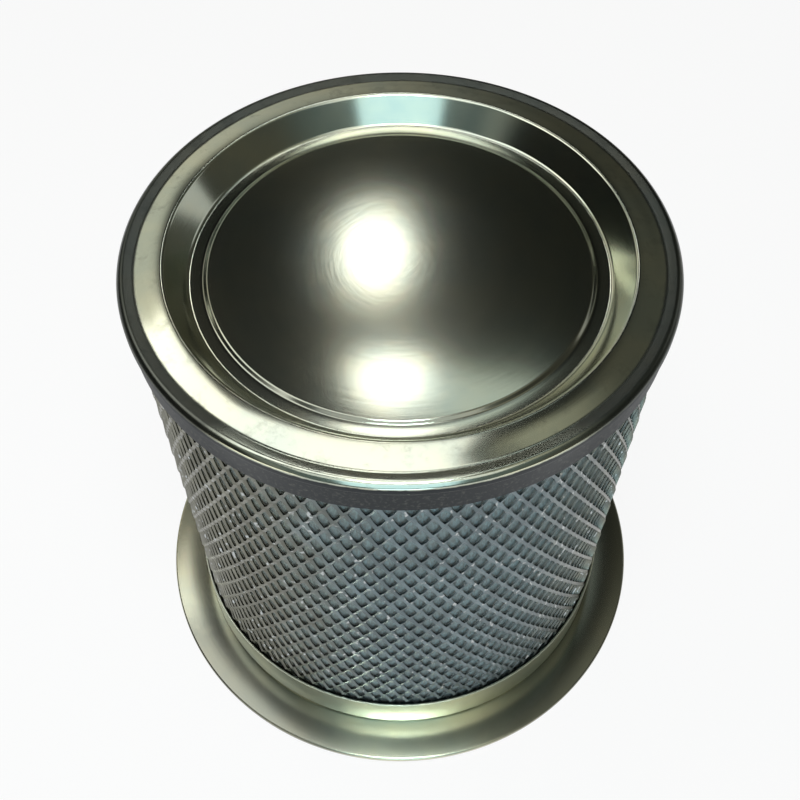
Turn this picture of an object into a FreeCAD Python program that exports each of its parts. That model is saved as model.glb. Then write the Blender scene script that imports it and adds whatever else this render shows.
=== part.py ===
import FreeCAD, Part
import math
import os
import Sketcher

# Oil separator element of a screw compressor, standing on its mounting flange.
# The origin is the centre of the gasket's lower face, the face that seals on the tank; +Z runs
# up the axis to the closed end cap. Millimetres throughout.

# Driving dimensions: alias, value and what it is.
SIZES = [
    ("overall_height", 190.0, "gasket underside to the crown of the end cap's rim"),
    ("flange_margin", 15.4, "mounting flange outside the pan's lip"),
    ("flange_thickness", 2.5, "flange plate"),
    ("flange_bore_clearance", 0.6, "outlet opening in the flange outside the pan collar's bore"),
    ("flange_edge", 0.6, "easing of the blanked flange's upper edge"),
    ("pan_seat", 0.2, "depth of the coined seat that centres the pan on the flange"),
    ("pan_seat_clearance", 0.2, "seat wall to the pan"),
    ("gasket_thickness", 1.5, "compressed fibre gasket"),
    ("gasket_inset", 3.0, "gasket edge inside the flange edge"),
    ("gasket_bore_margin", 1.5, "gasket bore outside the flange bore"),
    ("staple_count", 4, "grounding staples round the gasket"),
    ("staple_inset", 10.0, "circle of the staples inside the flange edge"),
    ("staple_length", 10.0, "staple crown, end to end"),
    ("staple_width", 1.2, "staple wire, along the radius"),
    ("staple_wire", 0.5, "staple wire, thickness"),
    ("shell_radius", 84.6, "expanded shell, outer radius"),
    ("shell_thickness", 1.6, "expanded shell, over the raised strands"),
    ("shell_columns", 24, "openings round the shell in one row"),
    ("shell_pitch", 36.0, "height of one mesh of the shell, knuckle to knuckle"),
    ("shell_opening_width", 16.6, "opening across, corner to corner"),
    ("shell_knuckle", 5.0, "metal between one opening and the next above it"),
    ("shell_border", 2.5, "plain metal between the cap or pan lip and the first opening"),
    ("fleece_wall", 1.0, "outer polyester fleece"),
    ("first_stage_wall", 3.6, "first coalescing wrap of glass fibre"),
    ("scrim_wall", 0.3, "spunbond scrim that carries a glass wrap"),
    ("middle_tube_wall", 0.8, "middle support tube sheet"),
    ("middle_tube_rows", 3, "rows of windows in the middle tube"),
    ("second_stage_wall", 2.0, "second coalescing wrap, finer glass fibre"),
    ("drain_felt_wall", 2.6, "needled drain felt"),
    ("gauze_wall", 0.4, "wire gauze behind the felt"),
    ("inner_tube_wall", 0.9, "inner support tube sheet"),
    ("inner_tube_rows", 5, "rows of windows in the inner tube"),
    ("tube_columns", 12, "windows round a support tube in one row"),
    ("window_width", 24.0, "tube window across, corner to corner"),
    ("window_height", 34.0, "tube window upright, corner to corner"),
    ("window_border", 8.0, "plain metal at each end of a tube"),
    ("sheet", 0.8, "pressed sheet of the cap and the pan"),
    ("shell_clearance", 0.2, "shell to the cap skirt and to the pan lip"),
    ("pan_lip_height", 18.0, "outer lip of the lower pan above the flange"),
    ("pan_collar_height", 10.0, "inner collar of the lower pan above the flange"),
    ("pan_collar_clearance", 0.3, "inner tube to the pan collar"),
    ("pan_bend", 0.8, "bend between the pan's floor and its lip"),
    ("lower_bed", 2.0, "resin under the media"),
    ("upper_bed", 4.5, "resin over the media, to the cap rim"),
    ("skirt_height", 14.0, "cap skirt below the crown of the rim"),
    ("bead_overhang", 0.9, "rolled bead outside the skirt"),
    ("bead_depth", 4.4, "lowest point of the bead below the rim"),
    ("bead_neck", 1.3, "height over which the bead closes in to the skirt"),
    ("bead_drop", 0.5, "crown of the bead below the rim"),
    ("bead_shoulder", 1.5, "slope of the bead's outer edge, across and down"),
    ("groove_depth", 1.4, "groove between rim and bead, below the rim's crown"),
    ("groove_inset", 5.2, "middle of the groove inside the bead's edge"),
    ("rim_width", 14.1, "bead's edge to the rim's inner edge and crown"),
    ("recess_run", 6.2, "width of the sloping recess wall"),
    ("recess_depth", 8.8, "recess floor below the rim"),
    ("shelf_width", 4.8, "shelf between the recess wall and the disc"),
    ("step_run", 0.9, "width of the small step up to the disc"),
    ("step_height", 0.7, "height of the step"),
]

os.makedirs("parts", exist_ok=True)
doc = FreeCAD.newDocument("oil_separator_element")
sheet = doc.addObject("Spreadsheet::Sheet", "Sizes")
for line, (alias, value, meaning) in enumerate(SIZES, start=1):
    sheet.set(f"A{line}", alias)
    sheet.set(f"B{line}", str(value))
    sheet.set(f"C{line}", meaning)
    sheet.setAlias(f"B{line}", alias)
doc.recompute()

# Heights from the flange upwards, as expressions on the sheet.
FLANGE_TOP = "(Sizes.gasket_thickness + Sizes.flange_thickness)"
PAN_BOTTOM = f"({FLANGE_TOP} - Sizes.pan_seat)"
PAN_FLOOR = f"({PAN_BOTTOM} + Sizes.sheet)"
STACK_BOTTOM = f"({PAN_FLOOR} + Sizes.lower_bed)"
PAN_LIP_TOP = f"({FLANGE_TOP} + Sizes.pan_lip_height)"
RIM_TOP = "Sizes.overall_height"
STACK_TOP = f"({RIM_TOP} - Sizes.sheet - Sizes.upper_bed)"
SKIRT_BOTTOM = f"({RIM_TOP} - Sizes.skirt_height)"
SHELF = f"({RIM_TOP} - Sizes.recess_depth)"

# Radii from the shell inwards, to the corners of pieces that are rolled or wound in flats.
LIP_INNER = "(Sizes.shell_radius + Sizes.shell_clearance)"
LIP_OUTER = f"({LIP_INNER} + Sizes.sheet)"
BEAD_RADIUS = f"({LIP_OUTER} + Sizes.bead_overhang)"
RIM_INNER = f"({BEAD_RADIUS} - Sizes.rim_width)"
FLANGE_RADIUS = f"({LIP_OUTER} + Sizes.flange_margin)"
FLEECE_OUTER = "(Sizes.shell_radius - Sizes.shell_thickness)"
FIRST_STAGE_OUTER = f"({FLEECE_OUTER} - Sizes.fleece_wall)"
FIRST_SCRIM_OUTER = f"({FIRST_STAGE_OUTER} - Sizes.first_stage_wall)"
MIDDLE_TUBE_OUTER = f"({FIRST_SCRIM_OUTER} - Sizes.scrim_wall)"
MIDDLE_TUBE_INNER = f"({MIDDLE_TUBE_OUTER} - Sizes.middle_tube_wall)"
SECOND_SCRIM_OUTER = f"({MIDDLE_TUBE_INNER} - Sizes.second_stage_wall)"
DRAIN_FELT_OUTER = f"({SECOND_SCRIM_OUTER} - Sizes.scrim_wall)"
GAUZE_OUTER = f"({DRAIN_FELT_OUTER} - Sizes.drain_felt_wall)"
INNER_TUBE_OUTER = f"({GAUZE_OUTER} - Sizes.gauze_wall)"
INNER_TUBE_INNER = f"({INNER_TUBE_OUTER} - Sizes.inner_tube_wall)"
INNER_TUBE_FLAT = f"({INNER_TUBE_INNER} * cos(90 / Sizes.tube_columns))"
COLLAR_OUTER = f"({INNER_TUBE_FLAT} - Sizes.pan_collar_clearance)"
COLLAR_INNER = f"({COLLAR_OUTER} - Sizes.sheet)"
FLANGE_BORE = f"({COLLAR_INNER} + Sizes.flange_bore_clearance)"

# Flats round a piece: two for each column of openings, so that every opening sits on a corner.
SHELL_FLATS = "2 * Sizes.shell_columns"
TUBE_FLATS = "2 * Sizes.tube_columns"

# Part objects whose shapes become the files in parts/.
sub_parts = []


def number(expression):
    """The value of an expression on the sheet."""
    return float(sheet.evalExpression(expression))


def plane(body, role):
    """One of a body's own origin planes or axes."""
    return next(item for item in body.Origin.OriginFeatures if item.Role == role)


def place_corner(sketch, line, radius, height):
    """Ties the start of a line to the sheet, or to an axis where its distance is nothing."""
    sides = (("DistanceX", radius, -2, "radius"), ("DistanceY", height, -1, "height"))
    for kind, expression, axis, side in sides:
        if expression == "0":
            sketch.addConstraint(Sketcher.Constraint("PointOnObject", line, 1, axis))
        else:
            label = f"corner_{line}_{side}"
            distance = Sketcher.Constraint(kind, -1, 1, line, 1, number(expression))
            sketch.renameConstraint(sketch.addConstraint(distance), label)
            sketch.setExpression(f"Constraints.{label}", expression)


def closed_profile(sketch, corners):
    """Draws a closed outline through corners, each a radius and a height as expressions."""
    places = [FreeCAD.Vector(number(radius), number(height), 0) for radius, height in corners]
    for start, end in zip(places, places[1:] + places[:1]):
        sketch.addGeometry(Part.LineSegment(start, end))
    for line, (radius, height) in enumerate(corners):
        sketch.addConstraint(Sketcher.Constraint("Coincident", (line - 1) % len(corners), 2, line, 1))
        place_corner(sketch, line, radius, height)


def revolved_body(name, corners):
    """A body turned about the axis from a closed outline."""
    body = doc.addObject("PartDesign::Body", name)
    outline = body.newObject("Sketcher::SketchObject", f"{name}_outline")
    outline.AttachmentSupport = (plane(body, "XZ_Plane"), [""])
    outline.MapMode = "FlatFace"
    closed_profile(outline, corners)
    turned = body.newObject("PartDesign::Revolution", f"{name}_turned")
    turned.Profile = (outline, [""])
    turned.ReferenceAxis = (outline, ["V_Axis"])
    turned.Angle = 360
    sub_parts.append(body)
    return body


def flat_sided_tube(name, outer, inner, flats):
    """A tube between pan and cap, rolled in narrow flats, with corners on the outer and inner radius."""
    solids = []
    for suffix, radius in (("outside", outer), ("inside", inner)):
        prism = doc.addObject("Part::Prism", f"{name}_{suffix}")
        prism.setExpression("Polygon", flats)
        prism.setExpression("Circumradius", radius)
        prism.setExpression("Height", f"{STACK_TOP} - {STACK_BOTTOM}")
        prism.setExpression("Placement.Base.z", STACK_BOTTOM)
        solids.append(prism)
    tube = doc.addObject("Part::Cut", name)
    tube.Base, tube.Tool = solids
    return tube


def diamond_bars(name, radius, columns, heights, width, height):
    """Upright diamond bars that point outwards all round; every other row stands half a pitch on.
    heights gives the middle of each row."""
    inside, length = 0.9 * radius, 0.2 * radius
    points = ((-width / 2, 0), (0, -height / 2), (width / 2, 0), (0, height / 2), (-width / 2, 0))
    diamond = Part.makePolygon([FreeCAD.Vector(inside, across, up) for across, up in points])
    bar = Part.Face(diamond).extrude(FreeCAD.Vector(length, 0, 0))
    bars = []
    for row, middle in enumerate(heights):
        for column in range(columns):
            copy = bar.copy()
            copy.translate(FreeCAD.Vector(0, 0, middle))
            turn = 360 / columns * (column + 0.5 * (row % 2))
            copy.rotate(FreeCAD.Vector(), FreeCAD.Vector(0, 0, 1), turn)
            bars.append(copy)
    tool = doc.addObject("Part::Feature", name)
    tool.Shape = Part.makeCompound(bars)
    return tool


def opened_tube(name, wall, bars):
    """The tube with its openings."""
    opened = doc.addObject("Part::Cut", name)
    opened.Base, opened.Tool = wall, bars
    sub_parts.append(opened)
    return opened


def shell():
    """Expanded steel shell: diamond openings standing on their points, in staggered rows."""
    low = number(f"{PAN_LIP_TOP} + Sizes.shell_border")
    high = number(f"{SKIRT_BOTTOM} - Sizes.shell_border")
    height = number("Sizes.shell_pitch - Sizes.shell_knuckle")
    half_pitch = number("Sizes.shell_pitch") / 2
    rows = int((high - low - height) / half_pitch) + 1
    first = (low + high - (rows - 1) * half_pitch) / 2
    heights = [first + row * half_pitch for row in range(rows)]
    wall = flat_sided_tube("shell_wall", "Sizes.shell_radius", FLEECE_OUTER, SHELL_FLATS)
    bars = diamond_bars("shell_openings", number("Sizes.shell_radius"), int(number("Sizes.shell_columns")),
                        heights, number("Sizes.shell_opening_width"), height)
    opened_tube("outer_shell", wall, bars)


def windowed_tube(name, outer, inner, rows):
    """Support tube of sheet with diamond windows between two plain ends."""
    low = number(f"{STACK_BOTTOM} + Sizes.window_border")
    high = number(f"{STACK_TOP} - Sizes.window_border")
    height = number("Sizes.window_height")
    count = int(number(rows))
    step = (high - low - height) / (count - 1)
    heights = [low + height / 2 + row * step for row in range(count)]
    wall = flat_sided_tube(f"{name}_wall", outer, inner, TUBE_FLATS)
    bars = diamond_bars(f"{name}_windows", number(outer), int(number("Sizes.tube_columns")), heights,
                        number("Sizes.window_width"), height)
    opened_tube(name, wall, bars)


def end_cap_and_resin():
    """Pressed end cap with rim, recess and rolled bead, and the resin that fills its trough."""
    slope = "(Sizes.recess_depth / Sizes.recess_run)"
    wall_shift = f"(Sizes.sheet * tan(atan({slope}) / 2))"
    recess_foot = f"({RIM_INNER} - Sizes.recess_run)"
    groove_floor = f"({RIM_TOP} - Sizes.groove_depth)"
    bead_top = f"({RIM_TOP} - Sizes.bead_drop)"
    bead_low = f"({RIM_TOP} - Sizes.bead_depth)"
    shelf_inner = f"({recess_foot} - Sizes.shelf_width)"
    disc_radius = f"({shelf_inner} - Sizes.step_run)"
    groove = f"({BEAD_RADIUS} - Sizes.groove_inset)"
    disc = f"({SHELF} + Sizes.step_height)"
    outside = [
        ("0", disc),
        (disc_radius, disc),
        (shelf_inner, SHELF),
        (recess_foot, SHELF),
        (RIM_INNER, RIM_TOP),
        (groove, groove_floor),
        (f"({BEAD_RADIUS} - Sizes.bead_shoulder)", bead_top),
        (BEAD_RADIUS, f"({bead_top} - Sizes.bead_shoulder)"),
        (BEAD_RADIUS, bead_low),
        (LIP_OUTER, f"({bead_low} - Sizes.bead_neck)"),
        (LIP_OUTER, SKIRT_BOTTOM)]
    trough = [
        (LIP_INNER, f"({groove_floor} - Sizes.sheet)"),
        (groove, f"({groove_floor} - Sizes.sheet)"),
        (f"({RIM_INNER} + {wall_shift})", f"({RIM_TOP} - Sizes.sheet)")]
    under_disc = [
        (f"({recess_foot} + {wall_shift})", f"({SHELF} - Sizes.sheet)"),
        (shelf_inner, f"({SHELF} - Sizes.sheet)"),
        (disc_radius, f"({disc} - Sizes.sheet)"),
        ("0", f"({disc} - Sizes.sheet)")]
    revolved_body("end_cap", outside + [(LIP_INNER, SKIRT_BOTTOM)] + trough + under_disc)
    drop = f"({RIM_TOP} - Sizes.sheet - {STACK_TOP})"
    resin_foot = f"({RIM_INNER} + {wall_shift} - {drop} / {slope})"
    revolved_body("upper_resin", [(resin_foot, STACK_TOP), (LIP_INNER, STACK_TOP)] + trough)


def lower_pan_and_resin():
    """Pressed pan that holds the lower ends, and the resin bed in it."""
    collar_top = f"({FLANGE_TOP} + Sizes.pan_collar_height)"
    pan = [
        (COLLAR_INNER, PAN_BOTTOM),
        (f"({LIP_OUTER} - Sizes.pan_bend)", PAN_BOTTOM),
        (LIP_OUTER, f"({PAN_BOTTOM} + Sizes.pan_bend)"),
        (LIP_OUTER, PAN_LIP_TOP),
        (LIP_INNER, PAN_LIP_TOP),
        (LIP_INNER, PAN_FLOOR),
        (COLLAR_OUTER, PAN_FLOOR),
        (COLLAR_OUTER, collar_top),
        (COLLAR_INNER, collar_top)]
    revolved_body("lower_pan", pan)
    resin = [
        (COLLAR_OUTER, PAN_FLOOR),
        (LIP_INNER, PAN_FLOOR),
        (LIP_INNER, STACK_BOTTOM),
        (COLLAR_OUTER, STACK_BOTTOM)]
    revolved_body("lower_resin", resin)


def flange():
    """Mounting flange with the outlet opening, a seat for the pan and an eased outer edge."""
    bottom = "Sizes.gasket_thickness"
    seat_radius = f"({LIP_OUTER} + Sizes.pan_seat_clearance)"
    corners = [
        (FLANGE_BORE, bottom),
        (FLANGE_RADIUS, bottom),
        (FLANGE_RADIUS, f"({FLANGE_TOP} - Sizes.flange_edge)"),
        (f"({FLANGE_RADIUS} - Sizes.flange_edge)", FLANGE_TOP),
        (seat_radius, FLANGE_TOP),
        (seat_radius, PAN_BOTTOM),
        (FLANGE_BORE, PAN_BOTTOM)]
    revolved_body("mounting_flange", corners)


def staples():
    """Grounding staples, each with its crown flush in the gasket's lower face and its legs up to
    the flange."""
    length, width, wire = (number(f"Sizes.staple_{size}") for size in ("length", "width", "wire"))
    circle, thickness = number(f"{FLANGE_RADIUS} - Sizes.staple_inset"), number("Sizes.gasket_thickness")
    crown = Part.makeBox(width, length, wire, FreeCAD.Vector(circle - width / 2, -length / 2, 0))
    legs = [Part.makeBox(width, wire, thickness, FreeCAD.Vector(circle - width / 2, side, 0))
            for side in (-length / 2, length / 2 - wire)]
    staple = crown.fuse(legs).removeSplitter()
    count = int(number("Sizes.staple_count"))
    solids = []
    for index in range(count):
        copy = staple.copy()
        copy.rotate(FreeCAD.Vector(), FreeCAD.Vector(0, 0, 1), 360 / count * (index + 0.5))
        solids += copy.Solids
    group = doc.addObject("Part::Feature", "grounding_staples")
    group.Shape = Part.makeCompound(solids)
    sub_parts.append(group)
    return group


def gasket(staple_group):
    """Fibre gasket glued under the flange, pierced by the staples."""
    blank = doc.addObject("Part::Cylinder", "gasket_blank")
    blank.setExpression("Radius", f"{FLANGE_RADIUS} - Sizes.gasket_inset")
    bore = doc.addObject("Part::Cylinder", "gasket_bore")
    bore.setExpression("Radius", f"{FLANGE_BORE} + Sizes.gasket_bore_margin")
    for disc in (blank, bore):
        disc.setExpression("Height", "Sizes.gasket_thickness")
    washer = doc.addObject("Part::Cut", "gasket_washer")
    washer.Base, washer.Tool = blank, bore
    pierced = doc.addObject("Part::Cut", "flange_gasket")
    pierced.Base, pierced.Tool = washer, staple_group
    sub_parts.append(pierced)


def media():
    """The wraps and felts between the shell and the inner tube, from the outside inwards, wound in
    the flats of what they lie on."""
    layers = (("outer_fleece", FLEECE_OUTER, FIRST_STAGE_OUTER, SHELL_FLATS),
              ("first_stage_wrap", FIRST_STAGE_OUTER, FIRST_SCRIM_OUTER, TUBE_FLATS),
              ("first_stage_scrim", FIRST_SCRIM_OUTER, MIDDLE_TUBE_OUTER, TUBE_FLATS),
              ("second_stage_wrap", MIDDLE_TUBE_INNER, SECOND_SCRIM_OUTER, TUBE_FLATS),
              ("second_stage_scrim", SECOND_SCRIM_OUTER, DRAIN_FELT_OUTER, TUBE_FLATS),
              ("drain_felt", DRAIN_FELT_OUTER, GAUZE_OUTER, TUBE_FLATS),
              ("inner_gauze", GAUZE_OUTER, INNER_TUBE_OUTER, TUBE_FLATS))
    for layer in layers:
        sub_parts.append(flat_sided_tube(*layer))


gasket(staples())
flange()
lower_pan_and_resin()
shell()
media()
windowed_tube("middle_tube", MIDDLE_TUBE_OUTER, MIDDLE_TUBE_INNER, "Sizes.middle_tube_rows")
windowed_tube("inner_tube", INNER_TUBE_OUTER, INNER_TUBE_INNER, "Sizes.inner_tube_rows")
end_cap_and_resin()

doc.recompute()
for item in doc.Objects:
    if "Invalid" in item.State or "Error" in item.State:
        raise RuntimeError(f"{item.Name} failed: {item.State}")
for item in sub_parts:
    if item.Shape.isNull() or not item.Shape.isValid():
        raise RuntimeError(f"{item.Name} has no valid shape")
for item in sub_parts:
    item.Shape.exportStep(f"parts/{item.Label}.step")
    print(f"{item.Label}: {len(item.Shape.Solids)} solids, {item.Shape.Volume:.1f} cubic mm")
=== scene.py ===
import math
from functools import partial

import bpy
from bpy.props import FloatProperty, FloatVectorProperty, IntProperty, PointerProperty
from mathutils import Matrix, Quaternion, Vector


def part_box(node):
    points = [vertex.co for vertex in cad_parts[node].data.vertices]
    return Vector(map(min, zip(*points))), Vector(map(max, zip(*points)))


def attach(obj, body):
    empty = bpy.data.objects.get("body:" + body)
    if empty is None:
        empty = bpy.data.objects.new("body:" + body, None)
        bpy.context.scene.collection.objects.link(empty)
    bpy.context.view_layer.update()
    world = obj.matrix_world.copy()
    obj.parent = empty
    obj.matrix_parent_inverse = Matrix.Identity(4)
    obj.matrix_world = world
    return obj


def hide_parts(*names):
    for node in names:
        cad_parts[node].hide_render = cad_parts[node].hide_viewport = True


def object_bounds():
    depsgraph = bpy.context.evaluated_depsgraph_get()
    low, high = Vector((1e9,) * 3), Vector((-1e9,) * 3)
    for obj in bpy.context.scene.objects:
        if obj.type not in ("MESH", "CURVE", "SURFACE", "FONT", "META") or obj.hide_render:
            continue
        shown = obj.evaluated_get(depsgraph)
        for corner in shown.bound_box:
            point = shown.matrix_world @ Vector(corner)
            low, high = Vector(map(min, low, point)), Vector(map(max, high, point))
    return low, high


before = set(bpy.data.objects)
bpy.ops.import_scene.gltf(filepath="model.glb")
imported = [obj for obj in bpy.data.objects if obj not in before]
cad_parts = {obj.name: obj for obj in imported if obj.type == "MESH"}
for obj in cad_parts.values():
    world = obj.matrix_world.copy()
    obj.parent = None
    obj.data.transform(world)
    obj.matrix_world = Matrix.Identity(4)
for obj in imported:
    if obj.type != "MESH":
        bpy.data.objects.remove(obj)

bl_info = {
    "name": "Oil separator element",
    "version": (1, 0, 0),
    "blender": (4, 5, 0),
    "location": "View3D > Sidebar > Separator",
    "description": "Dresses a packed oil separator element with pressed zinc, expanded steel and fleece",
    "category": "Object",
}

CAD_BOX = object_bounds()
CAP_LOW, CAP_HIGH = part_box("end_cap")
SHELL_LOW, SHELL_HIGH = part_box("outer_shell")
TUBE_LOW, TUBE_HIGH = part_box("inner_tube")
FLEECE_LOW, FLEECE_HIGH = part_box("outer_fleece")
PAN_LOW, PAN_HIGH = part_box("lower_pan")
FLANGE_LOW, FLANGE_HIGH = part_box("mounting_flange")
CLEARANCE = 0.0002  # between the pan and its seat, and before the fleece
CUT_EDGE = 0.0002  # rounding of a sheet's cut edge
AXIS = 0.0004  # radius at which an outline is closed on the axis
MARKS_PER_METRE = 700.0  # turning marks across a pressed piece


def length(default, name, description):
    """A size in metres that the panel shows in the scene's length unit."""
    return FloatProperty(name=name, description=description, default=default, min=0.0, unit="LENGTH",
                         precision=5)


def colour(default, name, description):
    """A linear colour."""
    return FloatVectorProperty(name=name, description=description, default=default, subtype="COLOR",
                               size=3, min=0.0, max=1.0)


class SeparatorSizes(bpy.types.PropertyGroup):
    """Sizes of the visible pieces."""
    sheet: length(0.0008, "Sheet", "Thickness of the pressed cap and pan")
    lip_radius: length(0.0856, "Lip radius", "Outer radius of the cap's skirt and of the pan's lip")
    bead_radius: length(CAP_HIGH.x, "Bead radius", "Outer radius of the cap's rolled bead")
    bead_depth: length(0.0044, "Bead depth", "Lowest point of the bead below the rim")
    bead_neck: length(0.0013, "Bead neck", "Height over which the bead closes in to the skirt")
    bead_drop: length(0.0005, "Bead drop", "Crown of the bead below the rim")
    bead_shoulder: length(0.0015, "Bead shoulder", "Slope of the bead's outer edge, across and down")
    bead_round: length(0.0015, "Bead round", "Rounding of the bead's shoulder")
    neck_round: length(0.0008, "Neck round", "Rounding of the bead's lower edge")
    groove_inset: length(0.0052, "Groove inset", "Middle of the groove inside the bead's edge")
    groove_depth: length(0.0014, "Groove depth", "Groove between rim and bead, below the rim")
    groove_round: length(0.0030, "Groove round", "Rounding of the groove's floor")
    rim_width: length(0.0141, "Rim width", "Bead's edge to the rim's inner edge")
    rim_crown: length(0.00016, "Rim crown", "Bulge of the rim between its inner edge and the groove")
    crown_round: length(0.0400, "Crown round", "Rounding of the rim's bulge")
    recess_run: length(0.0062, "Recess run", "Width of the sloping recess wall")
    recess_depth: length(0.0088, "Recess depth", "Recess floor below the rim")
    recess_round: length(0.0014, "Recess round", "Rounding at the head and foot of the recess wall")
    shelf_width: length(0.0048, "Shelf width", "Shelf between the recess wall and the disc")
    step_run: length(0.0012, "Step run", "Width of the small step up to the disc")
    step_height: length(0.0007, "Step height", "Height of the small step")
    step_round: length(0.0012, "Step round", "Rounding at the head and foot of the small step")
    collar_height: length(0.0100, "Collar height", "Inner collar of the pan above the flange")
    bore_radius: length(0.0700, "Bore radius", "Outlet opening in the flange")
    flange_round: length(0.0008, "Flange round", "Rounding of the flange's edges")
    strand: length(0.0006, "Strand", "Thickness of an expanded strand")
    fleece: length(0.0006, "Fleece", "Thickness of the fleece behind the shell")
    turned_steps: IntProperty(name="Turned steps", description="Sides of a turned piece", default=256,
                              min=32, max=512)
    shell_columns: IntProperty(name="Shell columns", description="Openings round the shell in one row",
                               default=84, min=24, max=120)
    tube_columns: IntProperty(name="Tube columns", description="Openings round the inner tube in one row",
                              default=70, min=24, max=120)
    mesh_rows: IntProperty(name="Mesh rows", description="Rows of openings over the height", default=16,
                           min=4, max=30)


class SeparatorColours(bpy.types.PropertyGroup):
    """Base colours of the finishes."""
    zinc: colour((0.60, 0.62, 0.54), "Zinc", "Pressed cap and pan")
    # The skirt colour is painted shade: near black for the shadow under the bead, and also used for the
    # painted dark reflection along the cap's outer edge.
    skirt: colour((0.017, 0.021, 0.024), "Skirt", "Drawn skirt of the cap")
    steel: colour((0.19, 0.20, 0.20), "Steel", "Expanded shell")
    flange: colour((0.62, 0.61, 0.49), "Flange", "Mounting flange")
    fleece: colour((0.42, 0.425, 0.41), "Fleece", "Fleece behind the shell")
    felt: colour((0.62, 0.61, 0.56), "Felt", "Drain felt and wraps")
    tube: colour((0.50, 0.51, 0.50), "Tube", "Inner tube and gauze")
    resin: colour((0.30, 0.25, 0.16), "Resin", "Cured epoxy")
    gasket: colour((0.09, 0.14, 0.11), "Gasket", "Compressed fibre")
    floor: colour((0.97, 0.97, 0.97), "Floor", "Floor under the element")


class Wire:
    """A socket of a node tree. Sums, differences, products and powers of wires add Math nodes."""

    def __init__(self, socket):
        self.socket = socket

    def maths(self, operation, other):
        return add_node(self.socket.id_data, "ShaderNodeMath", {"operation": operation},
                        {0: self, 1: other})

    def __add__(self, other):
        return self.maths("ADD", other)

    def __sub__(self, other):
        return self.maths("SUBTRACT", other)

    def __mul__(self, other):
        return self.maths("MULTIPLY", other)

    def __pow__(self, other):
        return self.maths("POWER", other)

    __radd__ = __add__


def add_node(tree, kind, settings=None, sockets=None, output=0):
    """Adds a node, sets it, fills or links its sockets and gives one of its outputs as a wire."""
    node = tree.nodes.new(kind)
    for key, value in (settings or {}).items():
        setattr(node, key, value)
    for key, value in (sockets or {}).items():
        if isinstance(value, Wire):
            tree.links.new(value.socket, node.inputs[key])
        else:
            node.inputs[key].default_value = value
    return None if output is None else Wire(node.outputs[output])


def opaque(rgb):
    """A colour with full alpha."""
    return (*rgb, 1.0)


def shaded(rgb, shares):
    """A colour times one share, or times a share for each channel, with full alpha."""
    if isinstance(shares, float):
        shares = (shares,) * 3
    return opaque([min(1.0, part * share) for part, share in zip(rgb, shares)])


def new_finish(name):
    """An empty material with its tree and Object coordinates."""
    material = bpy.data.materials.new(name)
    material.use_nodes = True
    tree = material.node_tree
    tree.nodes.clear()
    place = add_node(tree, "ShaderNodeTexCoord", output=3)
    return material, tree, place


def close_finish(tree, sockets):
    """The finish's one shader and its output."""
    shader = add_node(tree, "ShaderNodeBsdfPrincipled", sockets=sockets)
    add_node(tree, "ShaderNodeOutputMaterial", sockets={"Surface": shader}, output=None)


def noise(tree, place, scale, detail=4.0, roughness=0.55):
    """Cloudy noise from 0 to 1."""
    return add_node(tree, "ShaderNodeTexNoise", sockets={
        "Vector": place, "Scale": scale, "Detail": detail, "Roughness": roughness})


def steep(tree, value, low, high):
    """A value stretched from low..high to 0..1."""
    return add_node(tree, "ShaderNodeMapRange", {"interpolation_type": "SMOOTHSTEP"}, {
        "Value": value, "From Min": low, "From Max": high})


def blend(tree, factor, first, second):
    """Two colours, or wires of colour, mixed."""
    return add_node(tree, "ShaderNodeMix", {"data_type": "RGBA"}, {
        "Factor": factor, 6: first, 7: second}, output=2)


def bump(tree, height, distance):
    """A normal from heights of 0 to 1; the distance is in metres."""
    return add_node(tree, "ShaderNodeBump", sockets={"Height": height, "Distance": distance})


def axes(tree, place):
    """The three parts of a place or direction, as wires."""
    return [add_node(tree, "ShaderNodeSeparateXYZ", sockets={0: place}, output=index)
            for index in range(3)]


def turned_place(tree, place):
    """Radius, angle and height of a point round the element's axis, as wires."""
    x, y, z = axes(tree, place)
    radius = (x * x + y * y) ** 0.5
    angle = y.maths("ARCTAN2", x)
    return radius, angle, z


def pressed_zinc(name, rgb, roughness, wear_and_shade=None):
    """Zinc plated sheet with cloudy passivation and fine turning marks. The piece's own marks and painted
    shade, where it has any, change the colour and the roughness."""
    material, tree, place = new_finish(name)
    radius, angle, height = turned_place(tree, place)
    rings = add_node(tree, "ShaderNodeCombineXYZ", sockets={
        0: radius * MARKS_PER_METRE, 1: angle * 2.0, 2: height * MARKS_PER_METRE})
    marks = noise(tree, rings, 1.0, 3.0, 0.6)
    clouds = noise(tree, place, 30.0, 4.0, 0.6)
    tint = blend(tree, steep(tree, clouds, 0.3, 0.7), shaded(rgb, (0.86, 0.91, 0.90)),
                 shaded(rgb, (1.08, 1.05, 0.94)))
    rough = roughness + marks * 0.02
    if wear_and_shade:
        tint, rough = wear_and_shade(tree, place, clouds, tint, rough, rgb)
    close_finish(tree, {"Base Color": tint, "Metallic": 1.0, "Roughness": rough,
                        "Normal": bump(tree, marks * 0.3 + clouds * 0.7, 0.00002)})
    return material


def flange_painted_reflection(tree, place, clouds, tint, rough, rgb):
    """Painted dark reflection on the flange: a wavy dull patch on its right side and front left, where it
    mirrors the dark shell and room.
    """
    x, y = [part + (clouds - 0.5) * 0.02 for part in axes(tree, place)[:2]]
    left = steep(tree, x, -0.014, -0.040) * steep(tree, y, -0.032, -0.052)
    right = steep(tree, x, 0.020, 0.056)
    painted_reflection = left.maths("MAXIMUM", right) * 0.7
    return blend(tree, painted_reflection, tint, shaded(rgb, (0.22, 0.24, 0.28))), rough


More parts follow.
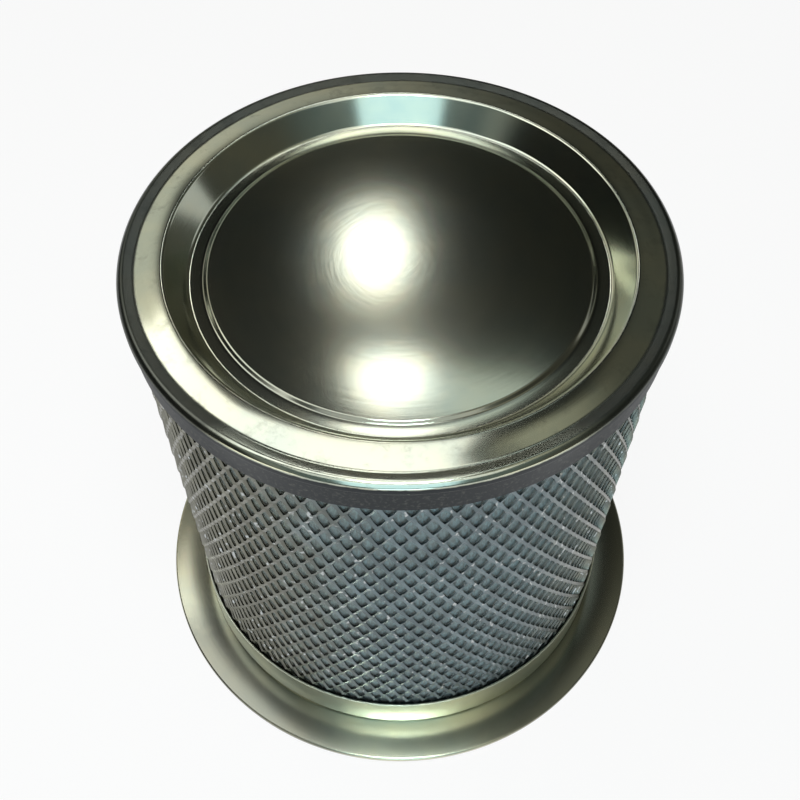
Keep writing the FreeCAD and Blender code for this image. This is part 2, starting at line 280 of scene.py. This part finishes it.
def cap_wear_and_painted_shade(tree, place, clouds, tint, rough, rgb, size, skirt):
    """Marks of the pressed cap, partly real and partly painted shade: a mottled rim; a painted dark
    reflection along the rim's outer edge apart from the front; painted shade in the ring round the disc; and
    a painted shadow on the skirt below the bead, dull and dark, with pale specks low down."""
    radius, angle, height = turned_place(tree, place)
    blots = noise(tree, place, 160.0, 5.0, 0.7)
    grains = noise(tree, place, 900.0, 3.0, 0.6)
    rim = size.bead_radius - size.rim_width
    groove = size.bead_radius - size.groove_inset
    disc = rim - size.recess_run - size.shelf_width - size.step_run
    skirt_top = CAP_HIGH.z - size.bead_drop - size.bead_shoulder
    on_rim = steep(tree, radius, rim - 0.0004, rim + 0.0016)
    on_edge = steep(tree, radius, groove - 0.0013, groove + 0.0027)
    mottled = steep(tree, blots, 0.50, 0.70) * (on_rim * 0.22 + on_edge * 0.1)
    tint = blend(tree, mottled, tint, shaded(rgb, 0.3))
    # Painted dark reflection along the rim's outer edge, left off at the front, where the edge mirrors
    # light.
    rim_edge = steep(tree, radius + (blots - 0.5) * 0.0010, groove - 0.0009, groove + 0.0003)
    behind_front = steep(tree, axes(tree, place)[1] + (clouds - 0.5) * 0.02, -0.079, -0.064)
    painted_edge_reflection = rim_edge * behind_front
    tint = blend(tree, painted_edge_reflection * 0.86, tint, opaque(skirt))
    # Painted shadow under the bead: the skirt is darkened to the skirt colour, with pale specks low down.
    ragged = height + (blots - 0.5) * 0.0012
    below = steep(tree, ragged, skirt_top, skirt_top - 0.0006)
    painted_skirt_shadow = below * steep(tree, radius, SHELL_HIGH.x - 0.0006, SHELL_HIGH.x - 0.0002)
    specks = steep(tree, grains, 0.50, 0.72) * steep(tree, height, skirt_top - 0.0030, skirt_top - 0.0060)
    tint = blend(tree, painted_skirt_shadow, tint, blend(tree, specks * 0.4, opaque(skirt), shaded(rgb, 0.22)))
    # Painted shade in the ring round the disc's edge.
    painted_crease_shade = (steep(tree, radius, disc - 0.0006, disc + 0.0002)
              * steep(tree, radius, disc + 0.0026, disc + 0.0018))
    tint = blend(tree, painted_crease_shade * 0.6, tint, shaded(rgb, 0.25))
    return tint, rough + mottled * 0.12 + painted_edge_reflection * 0.16 + painted_skirt_shadow * 0.20


def painted_light_hue(tree, place, clouds, rgb, share=1.0):
    """Painted light: a colour that leans to brown at the sides, for the warm side lamps, and to blue in the
    middle, for the cool front lamps.
    """
    x = axes(tree, place)[0] + (clouds - 0.5) * 0.05
    middle = steep(tree, x, -0.050, -0.004) * steep(tree, x, 0.085, 0.035)
    brown, blue = [shaded(rgb, [part * share for part in lean])
                   for lean in ((1.06, 1.0, 0.82), (0.86, 1.04, 1.12))]
    return blend(tree, middle, brown, blue)


def rolled_steel(name, rgb, roughness):
    """Expanded or perforated sheet: dull, slightly mottled metal with a painted light hue and small painted
    glints.
    """
    material, tree, place = new_finish(name)
    clouds = noise(tree, place, 90.0, 4.0, 0.6)
    grains = noise(tree, place, 900.0, 3.0, 0.6)
    # A painted light hue: brown at the sides and blue in the middle.
    tint = blend(tree, steep(tree, clouds, 0.35, 0.7), painted_light_hue(tree, place, clouds, rgb, 0.75),
                 painted_light_hue(tree, place, clouds, rgb, 1.2))
    # Small painted glints: sparse pale spots for light caught on the strands.
    painted_glints = steep(tree, noise(tree, place, 380.0, 2.0, 0.5), 0.62, 0.70)
    tint = blend(tree, painted_glints, tint, shaded(rgb, 2.6))
    close_finish(tree, {"Base Color": tint, "Metallic": 1.0, "Roughness": roughness + grains * 0.12,
                        "Normal": bump(tree, grains, 0.00003)})
    return material


def fibre_cloth(name, rgb, fibre_scale):
    """Fleece, felt and glass paper: tangled fibres, no gloss, with a painted light hue."""
    material, tree, place = new_finish(name)
    stretched = add_node(tree, "ShaderNodeMapping", {"vector_type": "POINT"}, {
        "Vector": place, "Scale": (1.0, 1.0, 0.25)})
    fibres = noise(tree, stretched, fibre_scale, 6.0, 0.75)
    crossing = noise(tree, place, fibre_scale * 0.6, 6.0, 0.75)
    clouds = noise(tree, place, 60.0, 3.0)
    # A painted light hue on the fibres: brown at the sides and blue in the middle.
    tint = blend(tree, steep(tree, fibres, 0.38, 0.62), shaded(rgb, 0.62), painted_light_hue(tree, place, clouds, rgb))
    tint = blend(tree, steep(tree, clouds, 0.4, 0.7) * 0.3, tint, shaded(rgb, 0.8))
    close_finish(tree, {"Base Color": tint, "Roughness": 0.92,
                        "Normal": bump(tree, fibres * 0.6 + crossing * 0.4, 0.0003)})
    return material


def cured_resin(name, rgb):
    """Epoxy with small bubbles."""
    material, tree, place = new_finish(name)
    bubbles = add_node(tree, "ShaderNodeTexVoronoi", sockets={"Vector": place, "Scale": 700.0})
    clouds = noise(tree, place, 120.0)
    tint = blend(tree, steep(tree, clouds, 0.35, 0.7), shaded(rgb, 0.8), shaded(rgb, 1.2))
    close_finish(tree, {"Base Color": tint, "Roughness": 0.35 + clouds * 0.15,
                        "Normal": bump(tree, steep(tree, bubbles, 0.05, 0.25), 0.00008)})
    return material


def pressed_fibre(name, rgb):
    """Compressed gasket sheet: dull, flecked with fibres."""
    material, tree, place = new_finish(name)
    flecks = noise(tree, place, 1400.0, 5.0, 0.7)
    clouds = noise(tree, place, 80.0)
    tint = blend(tree, steep(tree, flecks, 0.5, 0.68) * 0.5, opaque(rgb), shaded(rgb, 2.4))
    tint = blend(tree, steep(tree, clouds, 0.4, 0.7) * 0.35, tint, shaded(rgb, 0.6))
    close_finish(tree, {"Base Color": tint, "Roughness": 0.7 + flecks * 0.15,
                        "Normal": bump(tree, flecks, 0.00006)})
    return material


def floor_paper(rgb):
    """Pale paper that the camera, metal and glass see white, and that keeps the object's shadow."""
    material, tree, place = new_finish("floor_paper")
    grain = noise(tree, place, 400.0)
    tint = blend(tree, grain * 0.15, opaque(rgb), shaded(rgb, 0.97))
    paper = add_node(tree, "ShaderNodeBsdfPrincipled", sockets={"Base Color": tint, "Roughness": 0.9})
    glow = add_node(tree, "ShaderNodeEmission", sockets={"Color": opaque((1.0, 1.0, 1.0))})
    camera_ray, glossy_ray, through_ray = [
        add_node(tree, "ShaderNodeLightPath", output=name)
        for name in ("Is Camera Ray", "Is Glossy Ray", "Is Transmission Ray")]
    seen = (camera_ray + glossy_ray + through_ray).maths("MINIMUM", 1.0) * 0.9
    surface = add_node(tree, "ShaderNodeMixShader", sockets={0: seen, 1: paper, 2: glow})
    add_node(tree, "ShaderNodeOutputMaterial", sockets={"Surface": surface}, output=None)
    return material


def dress(piece, material):
    """Gives a piece one material."""
    piece.data.materials.clear()
    piece.data.materials.append(material)


def rounded(corners, steps=5):
    """Outline points through corners, each a radius, a height and a rounding."""
    points = []
    for index, (radius, height, rounding) in enumerate(corners):
        corner = Vector((radius, height))
        if not rounding or index in (0, len(corners) - 1):
            points.append(corner)
            continue
        before = (Vector(corners[index - 1][:2]) - corner).normalized()
        after = (Vector(corners[index + 1][:2]) - corner).normalized()
        half = before.angle(after) / 2
        centre = corner + (before + after).normalized() * (rounding / math.sin(half))
        reach = rounding / math.tan(half)
        first, last = corner + before * reach - centre, corner + after * reach - centre
        turn = first.angle_signed(last)
        for step in range(steps + 1):
            part = turn * step / steps
            points.append(centre + Vector((first.x * math.cos(part) + first.y * math.sin(part),
                                           first.y * math.cos(part) - first.x * math.sin(part))))
    return points


def open_edit(piece):
    """Edit mode on one piece, all of it selected."""
    if bpy.context.mode != "OBJECT":
        bpy.ops.object.mode_set(mode="OBJECT")
    bpy.ops.object.select_all(action="DESELECT")
    piece.select_set(True)
    bpy.context.view_layer.objects.active = piece
    bpy.ops.object.mode_set(mode="EDIT")
    bpy.ops.mesh.select_mode(type="VERT")
    bpy.ops.mesh.select_all(action="SELECT")


def pick(piece, test):
    """In edit mode, selects the vertices whose place passes the test."""
    bpy.ops.object.mode_set(mode="OBJECT")
    for item in (*piece.data.polygons, *piece.data.edges, *piece.data.vertices):
        item.select = False
    for vertex in piece.data.vertices:
        vertex.select = bool(test(piece.matrix_world @ vertex.co))
    bpy.ops.object.mode_set(mode="EDIT")


def turned_piece(name, outline, steps, closed=False):
    """Turns an outline about the axis: a circle drawn out ring by ring. An outline that starts or
    ends close to the axis is closed there, and a closed one joins its own start."""
    bpy.ops.object.select_all(action="DESELECT")
    radius, height = outline[0]
    bpy.ops.mesh.primitive_circle_add(vertices=steps, radius=radius, location=(0.0, 0.0, height))
    piece = bpy.context.object
    piece.name = name
    piece.data.name = name
    open_edit(piece)
    points = list(outline) + ([outline[0]] if closed else [])
    for (radius, height), (next_radius, next_height) in zip(points, points[1:]):
        bpy.ops.mesh.extrude_region_move(
            TRANSFORM_OT_translate={"value": (0.0, 0.0, next_height - height)})
        scale = next_radius / radius
        bpy.ops.transform.resize(value=(scale, scale, 1.0), center_override=(0.0, 0.0, 0.0))
    if not closed:
        for end_radius, end_height in (outline[-1], outline[0]):
            if end_radius < 2 * AXIS:
                pick(piece, lambda co: co.xy.length < 1.5 * AXIS and abs(co.z - end_height) < 1e-5)
                bpy.ops.mesh.merge(type="CENTER")
    finish_mesh(piece)
    return piece


def finish_mesh(piece, outside=True, angle=32.0):
    """Merges doubles, turns the faces outwards, puts the place into the mesh and shades it."""
    open_edit(piece)
    bpy.ops.mesh.remove_doubles(threshold=2e-6)
    if outside:
        bpy.ops.mesh.select_all(action="SELECT")
        bpy.ops.mesh.normals_make_consistent(inside=False)
    bpy.ops.object.mode_set(mode="OBJECT")
    bpy.ops.object.transform_apply(location=True, rotation=True, scale=True)
    bpy.ops.object.shade_smooth_by_angle(angle=math.radians(angle))


def apply_modifier(piece, kind, **settings):
    """Adds a modifier, sets it and applies it."""
    bpy.ops.object.select_all(action="DESELECT")
    piece.select_set(True)
    bpy.context.view_layer.objects.active = piece
    modifier = piece.modifiers.new(kind.title(), kind)
    for key, value in settings.items():
        setattr(modifier, key, value)
    bpy.ops.object.modifier_apply(modifier=modifier.name)


def expanded_sleeve(name, radius, columns, rows, bottom, top, opening, strand, tilt):
    """Expanded metal rolled to a sleeve. One eye of the mesh is drawn, stacked, and spun round the
    axis; opening gives the eye's open share across and upright, and tilt turns the strands."""
    half_angle = math.pi / columns
    pitch = (top - bottom) / rows
    middle = Vector((radius, 0.0, bottom + pitch / 2))
    eye_bulge = 1.14
    bpy.ops.object.select_all(action="DESELECT")
    bpy.ops.mesh.primitive_circle_add(vertices=4, radius=1.0, location=middle,
                                      rotation=(0.0, math.pi / 2, 0.0))
    piece = bpy.context.object
    piece.name = name
    piece.data.name = name
    bpy.ops.object.transform_apply(location=True, rotation=True, scale=True)
    open_edit(piece)
    half_width = radius * math.sin(half_angle)
    bpy.ops.transform.resize(value=(1.0, half_width, pitch / 2), center_override=middle)
    pick(piece, lambda co: abs(co.y) > half_width / 2)
    bpy.ops.transform.translate(value=(radius * math.cos(half_angle) - radius, 0.0, 0.0))
    bpy.ops.mesh.select_all(action="SELECT")
    bpy.ops.mesh.subdivide(number_cuts=1)
    bpy.ops.mesh.extrude_region_move(TRANSFORM_OT_translate={"value": (0.0, 0.0, 0.0)})
    bpy.ops.transform.resize(value=(1.0, opening[0], opening[1]), center_override=middle)
    bpy.ops.transform.rotate(value=tilt, orient_axis="Z", center_override=middle)
    eye_half = half_width * opening[0]

    def on_eye_side(co):
        across, up = abs(co.y), abs(co.z - middle.z)
        inner = across / half_width + up / (pitch / 2) < 0.95
        return inner and across > eye_half * 0.2 and up > pitch * 0.1

    pick(piece, on_eye_side)
    bpy.ops.transform.resize(value=(1.0, eye_bulge, eye_bulge), center_override=middle)
    bpy.ops.object.mode_set(mode="OBJECT")
    apply_modifier(piece, "ARRAY", count=rows, use_relative_offset=False, use_constant_offset=True,
                   constant_offset_displace=(0.0, 0.0, pitch))
    open_edit(piece)
    bpy.ops.mesh.duplicate_move(TRANSFORM_OT_translate={"value": (0.0, 0.0, pitch / 2)})
    bpy.ops.transform.rotate(value=half_angle, orient_axis="Z", center_override=(0.0, 0.0, 0.0))
    bpy.ops.mesh.select_all(action="SELECT")
    bpy.ops.mesh.bisect(plane_co=(0.0, 0.0, top), plane_no=(0.0, 0.0, 1.0), clear_outer=True)
    bpy.ops.mesh.select_all(action="SELECT")
    bpy.ops.mesh.spin(steps=columns - 1, dupli=True, angle=2 * math.pi * (columns - 1) / columns,
                      center=(0.0, 0.0, 0.0), axis=(0.0, 0.0, 1.0))
    bpy.ops.mesh.select_all(action="SELECT")
    bpy.ops.mesh.remove_doubles(threshold=1e-5)
    bpy.ops.mesh.select_all(action="SELECT")
    bpy.ops.mesh.normals_make_consistent(inside=False)
    bpy.ops.object.mode_set(mode="OBJECT")
    apply_modifier(piece, "SOLIDIFY", thickness=strand, offset=0.0)
    finish_mesh(piece, outside=False, angle=20.0)
    return piece


def cap_outline(size):
    """The cap's outline, from the middle of its underside round the skirt to the middle of its top."""
    top, sheet, bead = CAP_HIGH.z, size.sheet, size.bead_radius
    rim = bead - size.rim_width
    groove, groove_floor = bead - size.groove_inset, top - size.groove_depth
    bead_top, bead_low = top - size.bead_drop, top - size.bead_depth
    foot, shelf = rim - size.recess_run, top - size.recess_depth
    shelf_inner = foot - size.shelf_width
    disc_radius, disc = shelf_inner - size.step_run, shelf + size.step_height
    shift = sheet * math.tan(math.atan(size.recess_depth / size.recess_run) / 2)
    inner = size.lip_radius - sheet
    under = [
        (AXIS, disc - sheet, 0),
        (disc_radius, disc - sheet, 0),
        (shelf_inner, shelf - sheet, 0),
        (foot + shift, shelf - sheet, sheet),
        (rim + shift, top - sheet, sheet),
        (groove, groove_floor - sheet, 0),
        (inner, groove_floor - sheet, 0),
        (inner, CAP_LOW.z, 0)]
    over = [
        (size.lip_radius, CAP_LOW.z, 0),
        (size.lip_radius, bead_low - size.bead_neck, size.neck_round * 0.75),
        (bead, bead_low, size.neck_round),
        (bead, bead_top - size.bead_shoulder, size.bead_round),
        (bead - size.bead_shoulder, bead_top, size.bead_round * 1.2),
        (groove, groove_floor, size.groove_round),
        ((rim + groove) / 2, (top + groove_floor) / 2 + size.rim_crown, size.crown_round),
        (rim, top, size.recess_round),
        (foot, shelf, size.recess_round * 1.3),
        (shelf_inner, shelf, size.step_round),
        (disc_radius, disc, size.step_round),
        (disc_radius / 2, disc, 0),
        (AXIS, disc, 0)]
    return rounded(under + over)


class SEPARATOR_OT_cap(bpy.types.Operator):
    """Pressed end cap with its sloping rim, groove, rolled bead, recess and raised disc"""
    bl_idname = "separator.cap"
    bl_label = "End cap"

    def execute(self, context):
        size, tone = context.scene.separator_sizes, context.scene.separator_colours
        cap = turned_piece("cap_pressing", cap_outline(size), size.turned_steps)
        # The cap takes real mottling and painted shade: a dark outer edge, a dark ring round the disc and a
        # dark skirt.
        dress(cap, pressed_zinc("cap_zinc", tone.zinc, 0.13, partial(cap_wear_and_painted_shade, size=size, skirt=tone.skirt)))
        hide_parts("end_cap")
        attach(cap, "root")
        return {"FINISHED"}


class SEPARATOR_OT_shell(bpy.types.Operator):
    """Expanded steel shell and the fleece that shows through it"""
    bl_idname = "separator.shell"
    bl_label = "Shell and fleece"

    def execute(self, context):
        size, tone = context.scene.separator_sizes, context.scene.separator_colours
        middle = (SHELL_HIGH.x + FLEECE_HIGH.x) / 2
        shell = expanded_sleeve("expanded_shell", middle, size.shell_columns, size.mesh_rows, SHELL_LOW.z,
                                SHELL_HIGH.z, opening=(0.72, 0.76), strand=size.strand,
                                tilt=math.radians(11.0))
        dress(shell, rolled_steel("shell_steel", tone.steel, 0.3))
        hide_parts("outer_shell")
        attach(shell, "root")
        outer = FLEECE_HIGH.x - CLEARANCE
        inner = outer - size.fleece
        rings = 60
        rise = (FLEECE_HIGH.z - FLEECE_LOW.z) / rings
        outline = [(outer, FLEECE_LOW.z + rise * ring) for ring in range(rings + 1)]
        outline += [(inner, FLEECE_HIGH.z), (inner, FLEECE_LOW.z)]
        fleece = turned_piece("fleece_sleeve", outline, size.turned_steps, closed=True)
        dress(fleece, fibre_cloth("fleece_cloth", tone.fleece, 1500.0))
        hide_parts("outer_fleece")
        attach(fleece, "root")
        return {"FINISHED"}


class SEPARATOR_OT_pan(bpy.types.Operator):
    """Lower pan with its outer lip and inner collar"""
    bl_idname = "separator.pan"
    bl_label = "Lower pan"

    def execute(self, context):
        size, tone = context.scene.separator_sizes, context.scene.separator_colours
        foot, sheet, lip = PAN_LOW.z, size.sheet, size.lip_radius
        collar_top = foot + size.collar_height
        # The collar's outer radius is that of the solid it stands for.
        collar = max(vertex.co.xy.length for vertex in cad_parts["lower_pan"].data.vertices
                     if vertex.co.z > foot + size.collar_height * 0.9
                     and vertex.co.xy.length < TUBE_HIGH.x)
        bore = collar - sheet
        # The closed outline starts and ends on the bore, just above its lower edge.
        outline = rounded([
            (bore, foot + 0.0002, 0), (bore, foot, 0), (lip, foot, 2 * sheet),
            (lip, PAN_HIGH.z, CUT_EDGE), (lip - sheet, PAN_HIGH.z, CUT_EDGE),
            (lip - sheet, foot + sheet, sheet), (collar, foot + sheet, sheet),
            (collar, collar_top, CUT_EDGE), (bore, collar_top, CUT_EDGE), (bore, foot + 0.0003, 0)])
        pan = turned_piece("pan_pressing", outline, size.turned_steps, closed=True)
        dress(pan, pressed_zinc("pan_zinc", tone.zinc, 0.28))
        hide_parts("lower_pan")
        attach(pan, "root")
        return {"FINISHED"}


class SEPARATOR_OT_flange(bpy.types.Operator):
    """Mounting flange with eased edges"""
    bl_idname = "separator.flange"
    bl_label = "Mounting flange"

    def execute(self, context):
        size, tone = context.scene.separator_sizes, context.scene.separator_colours
        low, high, edge, bore = FLANGE_LOW.z, FLANGE_HIGH.z, FLANGE_HIGH.x, size.bore_radius
        seat, foot = size.lip_radius + CLEARANCE, PAN_LOW.z
        # The closed outline starts and ends on the bore, just above its lower edge.
        outline = rounded([
            (bore, low + 0.0005, 0), (bore, low, 0),
            (edge, low, size.flange_round), (edge, high, size.flange_round),
            (seat, high, CUT_EDGE / 2), (seat, foot, 0), (bore, foot, CUT_EDGE * 1.5),
            (bore, low + 0.0006, 0)])
        flange = turned_piece("flange_plate", outline, size.turned_steps, closed=True)
        # The flange takes a painted dark reflection on its right side and front left.
        dress(flange, pressed_zinc("flange_zinc", tone.flange, 0.20, flange_painted_reflection))
        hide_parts("mounting_flange")
        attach(flange, "root")
        return {"FINISHED"}


class SEPARATOR_OT_inside(bpy.types.Operator):
    """Fine inner tube, and the finishes of the pieces that keep their solids"""
    bl_idname = "separator.inside"
    bl_label = "Inner tube and wraps"

    def execute(self, context):
        size, tone = context.scene.separator_sizes, context.scene.separator_colours
        middle = TUBE_HIGH.x - size.strand - 2 * CLEARANCE
        tube = expanded_sleeve("inner_support_tube", middle, size.tube_columns, size.mesh_rows, TUBE_LOW.z,
                               TUBE_HIGH.z, opening=(0.74, 0.78), strand=size.strand,
                               tilt=math.radians(9.0))
        steel = rolled_steel("tube_steel", tone.tube, 0.32)
        dress(tube, steel)
        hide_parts("inner_tube")
        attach(tube, "root")
        paper = fibre_cloth("glass_paper", tone.felt, 1200.0)
        felt = fibre_cloth("needled_felt", tone.felt, 700.0)
        scrim = fibre_cloth("spun_scrim", tone.felt, 1800.0)
        resin = cured_resin("cured_resin", tone.resin)
        finishes = {
            "first_stage_wrap": paper, "second_stage_wrap": paper,
            "first_stage_scrim": scrim, "second_stage_scrim": scrim, "drain_felt": felt,
            "inner_gauze": steel, "middle_tube": steel, "upper_resin": resin, "lower_resin": resin,
            "flange_gasket": pressed_fibre("gasket_fibre", tone.gasket),
            "grounding_staples": rolled_steel("staple_wire", tone.tube, 0.3)}
        for node, finish in finishes.items():
            dress(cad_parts[node], finish)
        return {"FINISHED"}


def add_lamp(name, place, target, size, radiance, rgb, roll=0.0):
    """An area lamp at a place, turned to a target: a disc of one size, or a panel of two. Its power
    follows from its area and from how bright it looks."""
    data = bpy.data.lights.new(name, "AREA")
    data.size, data.color = size[0], rgb
    if len(size) == 1:
        data.shape = "DISK"
        area = math.pi * size[0] ** 2 / 4
    else:
        data.shape, data.size_y = "RECTANGLE", size[1]
        area = size[0] * size[1]
    data.energy = radiance * math.pi * area
    lamp = bpy.data.objects.new(name, data)
    bpy.context.scene.collection.objects.link(lamp)
    lamp.location = place
    aim = (Vector(target) - Vector(place)).to_track_quat("-Z", "Y")
    lamp.rotation_euler = (aim @ Quaternion((0.0, 0.0, 1.0), math.radians(roll))).to_euler()


def room_light(scene):
    """World light by direction: brighter low at the back and towards the left, a patch high on the
    right, dim and cool in front, dark elsewhere. x, y and z are the parts of the direction."""
    world = bpy.data.worlds.new("studio")
    world.use_nodes = True
    tree = world.node_tree
    tree.nodes.clear()
    place = add_node(tree, "ShaderNodeTexCoord", output=3)
    x, y, z = axes(tree, place)
    leftwards = steep(tree, x, 0.30, -0.55)
    low_back = steep(tree, z, 0.62, 0.46) * steep(tree, y, -0.1, 0.3)
    far_left = steep(tree, x, -0.28, -0.40) * steep(tree, z, 0.86, 0.70)
    back = low_back.maths("MAXIMUM", far_left)
    back = back * steep(tree, z, 0.10, 0.30) * steep(tree, x, -0.75, -0.52)
    high_right = steep(tree, z, 0.78, 0.95) * steep(tree, x, 0.15, 0.28) * steep(tree, y, 0.42, 0.33)
    front = steep(tree, y, -0.10, -0.40) * steep(tree, x.maths("ABSOLUTE", 0.0), 0.80, 0.50)
    glow = blend(tree, leftwards, opaque((0.05, 0.05, 0.04)), opaque((0.74, 0.73, 0.64)))
    shade = blend(tree, steep(tree, x, 0.24, 0.36), opaque((0.010, 0.011, 0.009)),
                  opaque((0.075, 0.075, 0.06)))
    shade = blend(tree, back, shade, glow)
    shade = blend(tree, high_right, shade, opaque((0.42, 0.42, 0.34)))
    shade = blend(tree, front, shade, opaque((0.12, 0.15, 0.145)))
    light = add_node(tree, "ShaderNodeBackground", sockets={"Color": shade, "Strength": 1.0})
    add_node(tree, "ShaderNodeOutputWorld", sockets={"Surface": light}, output=None)
    scene.world = world


class SEPARATOR_OT_stage(bpy.types.Operator):
    """Floor, lamps, world and camera"""
    bl_idname = "separator.stage"
    bl_label = "Stage"

    def execute(self, context):
        scene, tone = context.scene, context.scene.separator_colours
        bpy.ops.object.select_all(action="DESELECT")
        bpy.ops.mesh.primitive_plane_add(size=8.0, location=(0.0, 0.0, CAD_BOX[0].z - 0.0002))
        floor = context.object
        floor.name = "floor"
        dress(floor, floor_paper(tone.floor))
        disc, foot = (0.0, 0.0, 0.182), (0.0, 0.0, 0.08)
        warm, plain = (1.0, 0.92, 0.72), (1.0, 1.0, 0.98)
        cool, blue = (0.86, 1.0, 1.0), (0.62, 0.88, 1.0)
        # The two bright spots and the cool patch that the disc mirrors.
        add_lamp("back_lamp", (-0.032, 0.698, 0.902), disc, (0.095,), 4.6, plain)
        add_lamp("high_lamp", (-0.012, 0.475, 0.925), disc, (0.11,), 3.4, plain)
        add_lamp("window", (0.115, 0.430, 0.94), disc, (0.16, 0.10), 0.8, cool)
        # The rim's bright left and front.
        add_lamp("left_box", (-0.305, 0.076, 0.60), (-0.305, 0.076, 0.0), (0.28, 0.38), 1.8, plain, 25.0)
        add_lamp("top_box", (-0.06, 0.03, 0.60), (-0.06, 0.03, 0.0), (0.26, 0.20), 1.8, plain)
        # The back of the recess wall, and the front of the shell and of the pan.
        add_lamp("front_box", (0.0, -1.10, 0.90), disc, (0.80, 0.80), 1.45, blue)
        add_lamp("front_low", (0.03, -1.30, 0.12), foot, (0.40, 0.40), 3.6, blue)
        # The sides of the shell, and the recess wall's right.
        add_lamp("left_fill", (-1.00, -0.95, 0.12), foot, (0.70, 0.40), 1.6, warm)
        add_lamp("right_fill", (1.00, -0.95, 0.12), foot, (0.70, 0.40), 0.75, warm)
        add_lamp("right_low", (1.06, 0.56, 0.67), disc, (0.50, 0.50), 0.6, plain)
        # Soft light from above, strongest over the flange's front.
        add_lamp("front_key", (0.0, -0.135, 0.55), (0.0, -0.095, 0.0), (0.10, 0.06), 38.0, cool)
        add_lamp("high_panel", (0.0, -0.75, 1.60), disc, (1.60, 0.90), 0.8, plain)
        room_light(scene)
        data = bpy.data.cameras.new("photo_camera")
        data.sensor_width, data.lens = 36.0, 46.1
        data.clip_start, data.clip_end = 0.01, 50.0
        camera = bpy.data.objects.new("photo_camera", data)
        scene.collection.objects.link(camera)
        camera.location = (0.0, -0.2224, 0.4170)
        camera_drop = 54.26
        camera.rotation_euler = (math.radians(90.0 - camera_drop), 0.0, 0.0)
        scene.camera = camera
        scene.view_settings.view_transform = "Standard"
        return {"FINISHED"}


STEPS = (SEPARATOR_OT_cap, SEPARATOR_OT_shell, SEPARATOR_OT_pan, SEPARATOR_OT_flange, SEPARATOR_OT_inside,
         SEPARATOR_OT_stage)


class SEPARATOR_PT_panel(bpy.types.Panel):
    """Sizes, colours and steps of the element"""
    bl_idname = "SEPARATOR_PT_panel"
    bl_label = "Oil separator element"
    bl_space_type = "VIEW_3D"
    bl_region_type = "UI"
    bl_category = "Separator"

    def draw(self, context):
        layout = self.layout
        for group in (context.scene.separator_sizes, context.scene.separator_colours):
            for name in group.__annotations__:
                layout.prop(group, name)
        for step in STEPS:
            layout.operator(step.bl_idname)


CLASSES = (SeparatorSizes, SeparatorColours, *STEPS, SEPARATOR_PT_panel)


def register():
    for item in CLASSES:
        bpy.utils.register_class(item)
    bpy.types.Scene.separator_sizes = PointerProperty(type=SeparatorSizes)
    bpy.types.Scene.separator_colours = PointerProperty(type=SeparatorColours)


def unregister():
    del bpy.types.Scene.separator_sizes
    del bpy.types.Scene.separator_colours
    for item in reversed(CLASSES):
        bpy.utils.unregister_class(item)


def main():
    """Builds every piece and the stage."""
    register()
    bpy.ops.separator.cap()
    bpy.ops.separator.shell()
    bpy.ops.separator.pan()
    bpy.ops.separator.flange()
    bpy.ops.separator.inside()
    bpy.ops.separator.stage()


if __name__ == "__main__":
    main()
